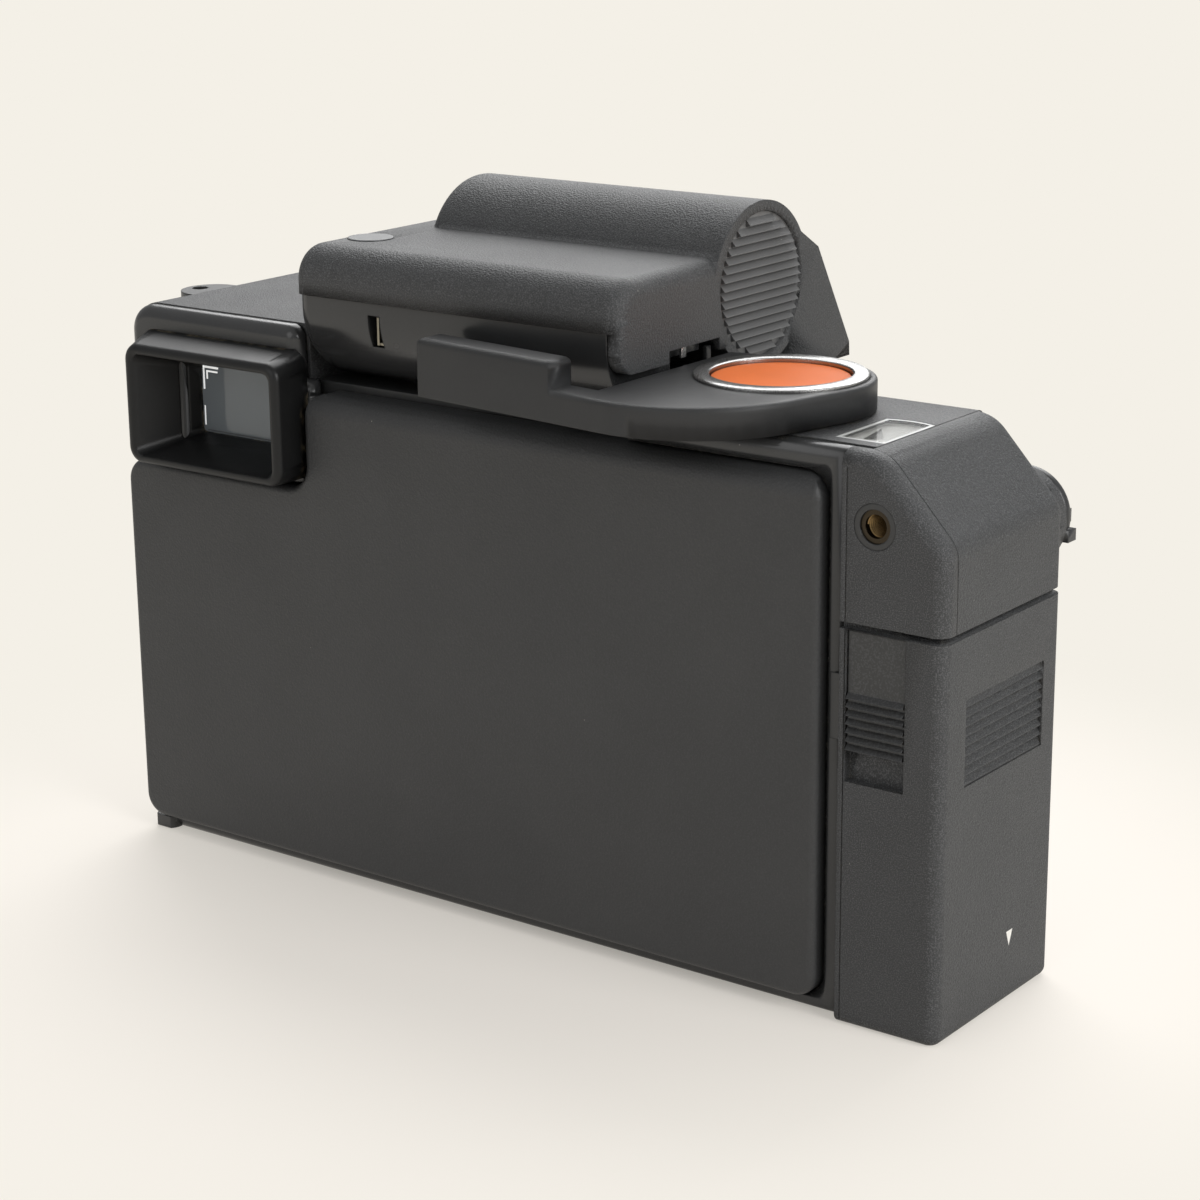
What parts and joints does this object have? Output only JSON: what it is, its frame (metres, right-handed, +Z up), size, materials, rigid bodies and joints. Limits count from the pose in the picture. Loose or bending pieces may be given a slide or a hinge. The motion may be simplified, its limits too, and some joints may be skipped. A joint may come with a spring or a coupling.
{
  "type": "compact film camera",
  "caption": "Compact 35 mm film camera with a folding flash, a thumb wind lever, a hinged film door and a battery grip.",
  "frame": {"origin": "centre of the tripod socket's mouth, in the plane of the base", "axes": "+Z up, +Y towards the back door, -Y towards the subject, +X towards the eyepiece and the door's hinge"},
  "size_m": [0.1276, 0.0625, 0.0886],
  "materials": {
    "grained_cover": "spark-eroded charcoal moulding, matte",
    "door_panel": "fine even matte charcoal",
    "smooth_black": "smooth semi-gloss black",
    "film_path": "matte black inner moulding",
    "release_orange": "satin orange disc",
    "bright_ring": "satin bright metal ring",
    "brass": "turned brass",
    "steel": "plain steel",
    "spring_steel": "spring wire and leaf",
    "clear": "clear window",
    "coated_glass": "coated lens glass",
    "lamp_cover": "translucent grey-white lamp cover",
    "dial_white": "printed dial",
    "foam": "black foam",
    "mirror_trough": "polished trough",
    "circuit": "green board",
    "cell_case": "plain metal sleeve"
  },
  "bodies": {
    "camera_body": {"chassis": "smooth_black", "film_gate": "film_path", "light_seal": "foam", "front_cover": "grained_cover", "viewfinder_cover": "grained_cover", "wind_deck": "grained_cover", "end_cover": "grained_cover", "release_panel": "grained_cover", "release_escutcheon": "smooth_black", "release_bush": "brass", "grip_housing": "grained_cover", "batteries": "cell_case", "battery_contacts": "spring_steel", "battery_hinge_pin": "steel", "latch_spring": "spring_steel", "door_hinge_pin": "steel", "eyepiece_frame": "smooth_black", "eyepiece_lens": "clear", "viewfinder_tube": "film_path", "viewfinder_window": "clear", "strap_lug": "smooth_black", "release_spring": "spring_steel", "counter_window": "clear", "flash_cradle": "smooth_black", "flash_hinge_pin": "steel", "flash_capacitor": "film_path", "circuit_board": "circuit", "lens_housing": "grained_cover", "lens_tube": "film_path", "shutter_housing": "film_path", "shutter_blades": "film_path", "rear_lens": "coated_glass", "inner_lens": "coated_glass", "tripod_bush": "brass", "cover_screws": "steel"},
    "door": {"back_door": "door_panel", "pressure_plate": "film_path", "pressure_springs": "spring_steel"},
    "latch": {"latch_slider": "smooth_black"},
    "battery_flap": {"battery_door": "grained_cover"},
    "lever": {"wind_lever": "smooth_black", "lever_ring": "bright_ring", "wind_shaft": "steel"},
    "button": {"release_button": "release_orange", "release_plunger": "steel"},
    "counter": {"counter_dial": "dial_white"},
    "sprocket_shaft": {"sprocket": "film_path"},
    "spool": {"take_up_spool": "film_path"},
    "fork": {"rewind_fork": "film_path"},
    "flash": {"flash_shell": "grained_cover", "flash_underside": "smooth_black", "flash_grip": "smooth_black", "flash_window": "clear", "flash_reflector": "mirror_trough", "flash_tube": "clear", "ready_lamp": "lamp_cover"},
    "selector": {"rewind_selector": "smooth_black"},
    "focus": {"focus_ring": "smooth_black", "lens_bezel": "smooth_black", "front_lens": "coated_glass"}
  },
  "joints": [
    {"name": "lever_turn", "type": "hinge", "parent": "camera_body", "child": "lever", "pos_m": [-0.0319, 0.0035, 0.0678], "axis": [0, 0, 1], "range_deg": [0, 130], "stiffness_Nm_per_rad": 0.01, "springref_deg": -22.92},
    {"name": "button_press", "type": "slide", "parent": "camera_body", "child": "button", "axis": [0, 0, -1], "range_m": [0, 0.0008], "stiffness_N_per_m": 300, "springref_m": -0.002, "deforming": ["release_spring"]},
    {"name": "counter_turn", "type": "hinge", "parent": "camera_body", "child": "counter", "pos_m": [-0.0414, 0.0051, 0.0644], "axis": [0, 0, 1], "range_deg": [0, 9]},
    {"name": "sprocket_turn", "type": "hinge", "parent": "camera_body", "child": "sprocket_shaft", "pos_m": [-0.0189, 0.0064, 0.0316], "axis": [0, 0, 1], "range_deg": [0, 480]},
    {"name": "spool_turn", "type": "hinge", "parent": "camera_body", "child": "spool", "pos_m": [-0.0319, 0.0035, 0.0316], "axis": [0, 0, 1], "range_deg": [0, 397]},
    {"name": "fork_turn", "type": "hinge", "parent": "camera_body", "child": "fork", "pos_m": [0.0452, 0.0001, 0.009], "axis": [0, 0, 1], "range_deg": [0, 260]},
    {"name": "door_swing", "type": "hinge", "parent": "camera_body", "child": "door", "pos_m": [0.0594, 0.0154, 0.0316], "axis": [0, 0, -1], "range_deg": [0, 110]},
    {"name": "latch_slide", "type": "slide", "parent": "camera_body", "child": "latch", "axis": [0, 0, -1], "range_m": [0, 0.0034], "stiffness_N_per_m": 250, "springref_m": -0.002, "deforming": ["latch_spring"]},
    {"name": "battery_flap_swing", "type": "hinge", "parent": "camera_body", "child": "battery_flap", "pos_m": [-0.0503, 0.003, 0.00095], "axis": [0, -1, 0], "range_deg": [0, 90]},
    {"name": "flash_lift", "type": "hinge", "parent": "camera_body", "child": "flash", "pos_m": [0.0065, 0.007, 0.075], "axis": [-1, 0, 0], "range_deg": [0, 45]},
    {"name": "selector_turn", "type": "hinge", "parent": "camera_body", "child": "selector", "pos_m": [-0.0553, -0.012, 0.0552], "axis": [0, -1, 0], "range_deg": [0, 60]},
    {"name": "focus_turn", "type": "hinge", "parent": "camera_body", "child": "focus", "pos_m": [0.00625, -0.033, 0.0316], "axis": [0, -1, 0], "range_deg": [0, 90]}
  ],
  "couplings": [
    {"joint": "sprocket_turn", "follows": "lever_turn", "ratio": 3.69},
    {"joint": "spool_turn", "follows": "lever_turn", "ratio": 3.05},
    {"joint": "fork_turn", "follows": "lever_turn", "ratio": 2},
    {"joint": "counter_turn", "follows": "lever_turn", "ratio": 0.069}
  ]
}
